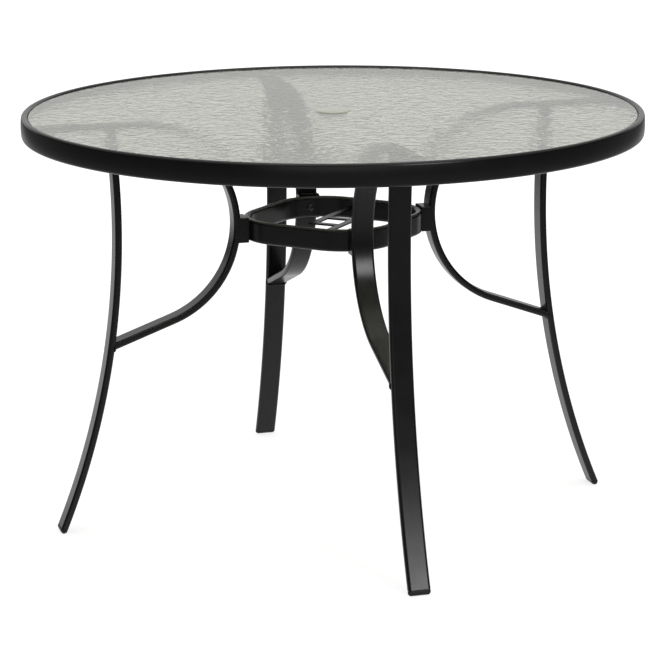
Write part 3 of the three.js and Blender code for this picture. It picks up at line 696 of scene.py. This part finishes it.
def build_guide():
    for k in (1, 2):
        bar = softened_copy(f"guide_bar_{k}", f"pole_guide_bar_{k}", powder_coat, GUIDE_EDGE)
        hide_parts(f"guide_bar_{k}")
        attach(bar, "frame")


def build_rim_tabs():
    for k in range(LEG_COUNT):
        tab = softened_copy(f"rim_tab_{k + 1}", f"rim_tab_plate_{k + 1}", powder_coat, RIM_TAB_EDGE)
        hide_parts(f"rim_tab_{k + 1}")
        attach(tab, "frame")


# Glass, plug and pads.

def build_glass():
    flat = glass_high.x - GLASS_EDGE
    top, bottom = glass_high.z, glass_low.z
    profile = [(HOLE_RADIUS + HOLE_EDGE, bottom), (flat, bottom)]
    profile += arc(flat, bottom + GLASS_EDGE, GLASS_EDGE, -90, 0, 4)[1:]
    profile += arc(flat, top - GLASS_EDGE, GLASS_EDGE, 0, 90, 4)
    profile += [(HOLE_RADIUS + HOLE_EDGE, top), (HOLE_RADIUS, top - HOLE_EDGE),
                (HOLE_RADIUS, bottom + HOLE_EDGE)]
    piece = flatten_shading(revolved("glass_disc", profile, wavy_glass, steps=256))
    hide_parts("glass_top")
    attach(piece, "frame")


def build_plug():
    """A hollow stem in the hole, and a flange with a rounded edge and a slightly domed top."""
    low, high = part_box("hole_plug")
    seat = glass_high.z + FIT_GAP
    stem = HOLE_RADIUS - PLUG_STEM_PLAY
    bore = stem - PLUG_WALL
    flange = high.x - PLUG_LIP
    crown = high.z
    profile = [(0.0, crown - PLUG_WALL), (bore, seat - PLUG_WALL), (bore, low.z), (stem, low.z),
               (stem, seat), (flange, seat)]
    profile += arc(flange, seat + PLUG_LIP, PLUG_LIP, -90, 60, 8)
    rim_r, rim_z = profile[-1]
    dome_steps = 16
    for i in range(1, dome_steps + 1):
        radius = rim_r * (1 - i / dome_steps)
        profile.append((radius, rim_z + (crown - rim_z) * (1 - (radius / rim_r) ** 2)))
    profile[-1] = (0.0, crown)
    piece = revolved("hole_cover", profile, plug_plastic, steps=96)
    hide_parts("hole_plug")
    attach(piece, "plug")


def build_pads():
    """Low buttons with a rounded shoulder and a slightly dished top."""
    for k in range(LEG_COUNT):
        low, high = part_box(f"glass_pad_{k + 1}")
        radius = (high.x - low.x) / 2
        height = high.z - low.z
        profile = [(0.0, 0.0), (radius - PAD_EDGE, 0.0), (radius, PAD_EDGE), (radius, height * 0.45)]
        profile += arc(radius - PAD_SHOULDER, height - PAD_SHOULDER, PAD_SHOULDER, 0, 90, 4)
        profile += [(radius * 0.55, height - 0.0003), (0.0, height - 0.0005)]
        pad = revolved(f"clear_bumper_{k + 1}", profile, pad_vinyl, steps=40)
        pad.data.transform(Matrix.Translation(((low.x + high.x) / 2, (low.y + high.y) / 2, low.z)))
        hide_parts(f"glass_pad_{k + 1}")
        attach(pad, "frame")


# Foot caps.

def rounded_ring(width, thickness, corner, steps=6):
    corner = min(corner, width / 2, thickness / 2)
    points = []
    for sx, sy, start in ((1, 1, 0), (-1, 1, 90), (-1, -1, 180), (1, -1, 270)):
        for i in range(steps + 1):
            angle = math.radians(start + 90 * i / steps)
            points.append((sx * (thickness / 2 - corner) + corner * math.cos(angle),
                           sy * (width / 2 - corner) + corner * math.sin(angle)))
    return points


def build_foot_caps():
    """Collar and half-round nose, drawn along the leg's direction at the floor."""
    nose = TUBE_THICKNESS / 2
    nose_z = nose - CAP_SINK
    tangent = (leg_point(nose_z + CAP_CHORD) - leg_point(nose_z)).normalized()
    # The nose's middle lies on the leg's centreline.
    origin = leg_point(nose_z)
    across = Vector((tangent.z, 0.0, -tangent.x))
    rings = []
    for height, inset in ((CAP_PLUG_TOP, CAP_PLUG_INSET), (CAP_COLLAR + CAP_STEP, CAP_PLUG_INSET),
                          (CAP_COLLAR, CAP_EDGE), (CAP_COLLAR - CAP_EDGE, 0.0)):
        outline = rounded_ring(TUBE_WIDTH - 2 * inset, TUBE_THICKNESS - 2 * inset, TUBE_CORNER - inset)
        rings.append([(x, y, height) for x, y in outline])
    for i in range(1, NOSE_RINGS + 1):
        # The last ring stays just short of the full quarter, so that the nose ends in a narrow flat.
        angle = math.radians(90 * i / NOSE_QUARTER_RINGS)
        depth = nose * math.sin(angle)
        rounding = max(depth - NOSE_FLANK, 0.0)
        inset = TUBE_CORNER - math.sqrt(max(TUBE_CORNER ** 2 - rounding ** 2, 0.0))
        outline = rounded_ring(TUBE_WIDTH - 2 * inset, TUBE_THICKNESS * math.cos(angle), TUBE_CORNER)
        rings.append([(x, y, -depth) for x, y in outline])
    shell = bmesh.new()
    placed = []
    for ring in rings:
        verts = []
        for x, y, z in ring:
            point = origin + across * x + Vector((0, 1, 0)) * y + tangent * z
            point.z = max(point.z, 0.0)
            verts.append(shell.verts.new(point))
        placed.append(verts)
    for upper, lower in zip(placed, placed[1:]):
        for i in range(len(upper)):
            j = (i + 1) % len(upper)
            shell.faces.new((upper[i], upper[j], lower[j], lower[i])).smooth = True
    shell.faces.new(placed[0])
    shell.faces.new(placed[-1])
    mesh = mesh_of(shell, "foot_cap", cap_plastic, math.radians(40))
    for k in range(LEG_COUNT):
        copy = mesh.copy()
        copy.transform(Matrix.Rotation(QUARTER_TURN * k, 4, "Z"))
        cap = add_object(f"foot_nose_{k + 1}", copy)
        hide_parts(f"foot_cap_{k + 1}")
        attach(cap, "frame")


# Fasteners and welds.

def screw_profile(head_radius, head_height, shank_radius, shank_length, socket):
    """A round-head screw along Z with its head's underside at zero and a round recess on top."""
    tip = 0.0004
    profile = [(0.0, -shank_length), (shank_radius - tip, -shank_length),
               (shank_radius, tip - shank_length), (shank_radius, 0.0), (head_radius - SCREW_EDGE, 0.0)]
    edge = head_height * 0.3
    profile += [(head_radius, SCREW_EDGE), (head_radius, edge)]
    for i in range(1, 9):
        angle = math.radians(90 * i / 9)
        profile.append((head_radius * math.cos(angle), edge + (head_height - edge) * math.sin(angle)))
    profile = [point for point in profile if point[0] >= socket or point[1] <= 0.0005]
    rim = profile[-1][1]
    profile += [(socket, rim), (socket - 0.0003, rim - 0.0005),
                (socket - 0.0004, rim - head_height * 0.45), (0.0, rim - head_height * 0.55)]
    return profile


def ring_of_screws(name, nodes, profile, facing):
    """One screw set into the first node's place, then repeated round the table's axis."""
    source = revolved(name + "_source", profile, fastener_steel, steps=36)
    source.data.transform(facing)
    modifier = source.modifiers.new("copies", "NODES")
    modifier.node_group = turned_copies
    set_inputs(modifier, {"Count": len(nodes), "Finish": fastener_steel})
    ring = finished(source, name)
    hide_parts(*nodes)
    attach(ring, "frame")


def button_screw(shank_length):
    return screw_profile(SCREW_HEAD_RADIUS, SCREW_HEAD_HEIGHT, SCREW_SHANK_RADIUS, shank_length,
                         SCREW_SOCKET_RADIUS)


def build_fasteners():
    """Screws into the hoop from inside, screws up into the brace ends, and the guide's two rivets."""
    nodes = [f"hoop_bolt_{k + 1}" for k in range(LEG_COUNT)]
    low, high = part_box(nodes[0])
    seat = Vector((low.x + SCREW_HEAD_HEIGHT, 0.0, (low.z + high.z) / 2))
    inward = Matrix.Translation(seat) @ Matrix.Rotation(-QUARTER_TURN, 4, "Y")
    ring_of_screws("hoop_screws", nodes, button_screw(high.x - seat.x), inward)

    nodes = [f"tab_bolt_{k + 1}" for k in range(LEG_COUNT)]
    low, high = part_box(nodes[0])
    seat = Vector(((low.x + high.x) / 2, 0.0, low.z + SCREW_HEAD_HEIGHT))
    downward = Matrix.Translation(seat) @ Matrix.Rotation(math.pi, 4, "X")
    ring_of_screws("tab_screws", nodes, button_screw(high.z - seat.z), downward)

    nodes = ["guide_rivet_1", "guide_rivet_2"]
    low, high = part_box(nodes[0])
    # The rivet stands square to the hoop's side, which runs at 45 degrees to the legs.
    along = Vector((math.cos(RIVET_SLANT), math.sin(RIVET_SLANT), 0.0))
    length = rivet_length(low, high)
    start = (low + high) / 2 - along * (length / 2 - RIVET_HEAD_HEIGHT)
    facing = (Matrix.Translation(start) @ Matrix.Rotation(RIVET_SLANT, 4, "Z")
              @ Matrix.Rotation(-QUARTER_TURN, 4, "Y"))
    rivet = screw_profile(RIVET_HEAD_RADIUS, RIVET_HEAD_HEIGHT, RIVET_SHANK_RADIUS,
                          length - RIVET_HEAD_HEIGHT, RIVET_DIMPLE_RADIUS)
    ring_of_screws("guide_rivets", nodes, rivet, facing)


def rivet_length(low, high):
    """Length of a pin along its box's diagonal, with its head at one end and its shank at the other."""
    return (high.x - low.x) * math.sqrt(2) - (RIVET_HEAD_RADIUS + RIVET_SHANK_RADIUS)


def bead(name, points, radius, seed):
    curve = curve_object(name + "_path", points, True)
    modifier = curve.modifiers.new("bead", "NODES")
    modifier.node_group = weld_bead
    set_inputs(modifier, {"Bead Radius": radius, "Ripple Spacing": BEAD_SPACING,
                          "Unevenness": BEAD_UNEVENNESS, "Seed": float(seed), "Finish": powder_coat})
    piece = finished(curve, name, math.radians(80))
    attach(piece, "frame")


def section_outline(origin, along, grow):
    """The tube's outline, a little grown, in the plane of Y and of the direction of its thickness."""
    outline = rounded_ring(TUBE_WIDTH + 2 * grow, TUBE_THICKNESS + 2 * grow, TUBE_CORNER + grow,
                           steps=5)
    return [origin + Vector((0, 1, 0)) * y + along * x for x, y in outline]


def build_welds():
    """Beads at the brace's foot and at the leg's top."""
    foot = brace_path()[0]
    up_leg = (leg_point(foot.z + 0.01) - leg_point(foot.z - 0.01)).normalized()
    out = Vector((up_leg.z, 0.0, -up_leg.x))
    seat = leg_point(foot.z) - out * (TUBE_THICKNESS / 2 - FOOT_BEAD_SINK)
    # The brace meets the leg at a slant, which stretches its outline along the leg.
    stretch = 1.0 / abs(math.cos(BRACE_FOOT_SLOPE + math.atan2(up_leg.x, up_leg.z)))
    top = RUN_Z - TUBE_THICKNESS / 2
    head = Vector((leg_point(top).x, 0.0, top - TOP_BEAD_DROP))
    for k in range(LEG_COUNT):
        turn = Matrix.Rotation(QUARTER_TURN * k, 3, "Z")
        outline = section_outline(seat, up_leg * stretch, FOOT_BEAD_GROW)
        bead(f"foot_weld_{k + 1}", [turn @ point for point in outline], FOOT_BEAD_RADIUS, k)
        outline = section_outline(head, Vector((1, 0, 0)), TOP_BEAD_GROW)
        bead(f"top_weld_{k + 1}", [turn @ point for point in outline], TOP_BEAD_RADIUS, k + 10)


# The table.

build_rim()
build_legs_and_braces()
build_hoop()
build_guide()
build_rim_tabs()
build_glass()
build_plug()
build_pads()
build_foot_caps()

build_fasteners()
build_welds()


# Floor, light and camera.

def build_floor():
    """Pale paper. Reflections see a lit sheet, brighter beyond the table, that fades to the sides."""
    mesh = bpy.data.meshes.new("floor")
    reach = FLOOR_REACH
    mesh.from_pydata([(-reach, -reach, 0), (reach, -reach, 0), (reach, reach, 0), (-reach, reach, 0)],
                     [], [(0, 1, 2, 3)])
    floor = add_object("floor", mesh)
    floor.location.z = -FLOOR_DROP
    material, tree, shader = new_material("floor_paper")
    place = new_node(tree, "ShaderNodeTexCoord").outputs["Object"]
    grain = new_node(tree, "ShaderNodeTexNoise", {"Vector": place, "Scale": 40.0})
    path = new_node(tree, "ShaderNodeLightPath")
    through = path.outputs["Is Transmission Ray"]
    mirrored_or_through = math_node(tree, "MAXIMUM", path.outputs["Is Glossy Ray"], through)
    paper = mix_colours(tree, mirrored_or_through, (0.42, 0.42, 0.42, 1), (0.15, 0.15, 0.15, 1))
    tree.links.new(paper, shader.inputs["Base Color"])
    tree.links.new(ramp(tree, grain.outputs["Fac"], 0.0, 1.0, 0.85, 0.95), shader.inputs["Roughness"])
    set_values(shader, {"Specular IOR Level": 0.0, "Emission Color": (1, 1, 1, 1)})
    beyond = vector_value(tree, "DOT_PRODUCT", place, VIEW_FORWARD)
    aside = math_node(tree, "ABSOLUTE", vector_value(tree, "DOT_PRODUCT", place, VIEW_RIGHT))
    away = vector_value(tree, "LENGTH", place)
    width = ramp(tree, aside, 0.7, 3.0, 1.0, 0.0, smooth=True)
    depth = ramp(tree, beyond, -2.4, 2.0, *FLOOR_MIRRORED, smooth=True)
    near = ramp(tree, away, 1.4, 3.6, FLOOR_NEAR_MIRRORED, 0.0)
    plain = ramp(tree, away, 0.8, 3.0, *FLOOR_SEEN)
    mirrored = math_node(tree, "ADD", math_node(tree, "MULTIPLY", width, depth), near)
    bounced = math_node(tree, "SUBTRACT", path.outputs["Is Glossy Ray"], through, clamp=True)
    seen = math_node(tree, "ADD", math_node(tree, "MULTIPLY", path.outputs["Is Camera Ray"], plain),
                     math_node(tree, "MULTIPLY", bounced, mirrored))
    seen = math_node(tree, "ADD", seen, math_node(tree, "MULTIPLY", through, FLOOR_THROUGH_GLASS))
    tree.links.new(seen, shader.inputs["Emission Strength"])
    # The glow depends on the kind of ray, which a sampled lamp can't tell, so only rays meet it.
    material.cycles.emission_sampling = "NONE"
    mesh.materials.append(material)


def build_world():
    """White to the camera. Reflections see a white sweep beyond the table, a ceiling that brightens
    upwards, and a low wall behind the camera."""
    world = bpy.data.worlds.new("studio")
    scene.world = world
    world.use_nodes = True
    tree = world.node_tree
    background = tree.nodes["Background"]
    background.inputs["Color"].default_value = (1, 1, 1, 1)
    path = new_node(tree, "ShaderNodeLightPath")
    through = path.outputs["Is Transmission Ray"]
    direction = new_node(tree, "ShaderNodeTexCoord").outputs["Generated"]
    height = new_node(tree, "ShaderNodeSeparateXYZ", {"Vector": direction}).outputs["Z"]
    level = new_node(tree, "ShaderNodeVectorMath", {0: direction, 1: (1, 1, 0)}, operation="MULTIPLY")
    heading = new_node(tree, "ShaderNodeVectorMath", {0: level.outputs[0]}, operation="NORMALIZE")
    beyond = vector_value(tree, "DOT_PRODUCT", heading.outputs[0], VIEW_FORWARD)
    sweep = ramp(tree, beyond, 0.64, 0.93, 0.0, SWEEP_MIRRORED, smooth=True)
    ceiling = ramp(tree, height, 0.25, 0.8, *CEILING_MIRRORED, smooth=True)
    front = ramp(tree, beyond, -0.85, -0.995, smooth=True)
    low = ramp(tree, height, 0.05, 0.3, 1.0, 0.0, smooth=True)
    wall = math_node(tree, "MULTIPLY", front, low)
    room = math_node(tree, "MAXIMUM", math_node(tree, "MAXIMUM", sweep, ceiling), wall)
    bounced = math_node(tree, "SUBTRACT", path.outputs["Is Glossy Ray"], through, clamp=True)
    total = path.outputs["Is Camera Ray"]
    for ray, strength in ((bounced, room), (through, ROOM_THROUGH_GLASS),
                          (path.outputs["Is Diffuse Ray"], ROOM_DIFFUSE)):
        total = math_node(tree, "MAXIMUM", total, math_node(tree, "MULTIPLY", ray, strength))
    tree.links.new(total, background.inputs["Strength"])
    world.cycles.sampling_method = "NONE"


def area_light(name, location, target, size, power):
    light = bpy.data.lights.new(name, "AREA")
    light.shape = "RECTANGLE"
    light.size, light.size_y = size
    light.energy = power
    lamp = add_object(name, light)
    lamp.location = location
    lamp.rotation_euler = (Vector(target) - Vector(location)).to_track_quat("-Z", "Y").to_euler()
    return lamp


def keep_off(lamp, piece):
    """Keeps the lamp's light, and so its mirror image, off the piece."""
    spared = bpy.data.collections.new("out_of_" + lamp.name)
    spared.objects.link(piece)
    lamp.light_linking.receiver_collection = spared
    spared.collection_objects[0].light_linking.link_state = "EXCLUDE"


def build_camera():
    """A long lens, a little above the table, turned off the front leg."""
    pitch, yaw, roll = CAMERA_PITCH, CAMERA_YAW, CAMERA_ROLL
    forward = Vector((math.sin(yaw) * math.cos(pitch), math.cos(yaw) * math.cos(pitch),
                      -math.sin(pitch)))
    right = Vector((math.cos(yaw), -math.sin(yaw), 0.0))
    up = right.cross(forward)
    rolled_right = math.cos(roll) * right + math.sin(roll) * up
    rolled_up = -math.sin(roll) * right + math.cos(roll) * up
    facing = Matrix((rolled_right, rolled_up, -forward)).transposed().to_4x4()
    place = Matrix.Translation((0.0, -CAMERA_DISTANCE, CAMERA_HEIGHT))
    camera_data = bpy.data.cameras.new("camera")
    camera_data.sensor_width = CAMERA_SENSOR
    camera_data.sensor_fit = "HORIZONTAL"
    camera_data.lens = CAMERA_LENS
    camera_data.clip_end = 200.0
    camera = add_object("camera", camera_data)
    camera.matrix_world = Matrix.Rotation(-CAMERA_TURN, 4, "Z") @ place @ facing
    scene.camera = camera


build_floor()
build_world()
area_light("overhead_softbox", location=(0.0, 0.0, 3.2), target=(0, 0, 0.5), size=(2.4, 2.4), power=17)
front_softbox = area_light("front_softbox", location=(1.3, -4.3, 2.15), target=(0, -0.2, 0.4),
                           size=(1.15, 1.15), power=43)
# From behind, the glass would mirror this lamp as a white patch.
keep_off(front_softbox, bpy.data.objects["glass_disc"])
build_camera()

scene.view_settings.view_transform = "Standard"
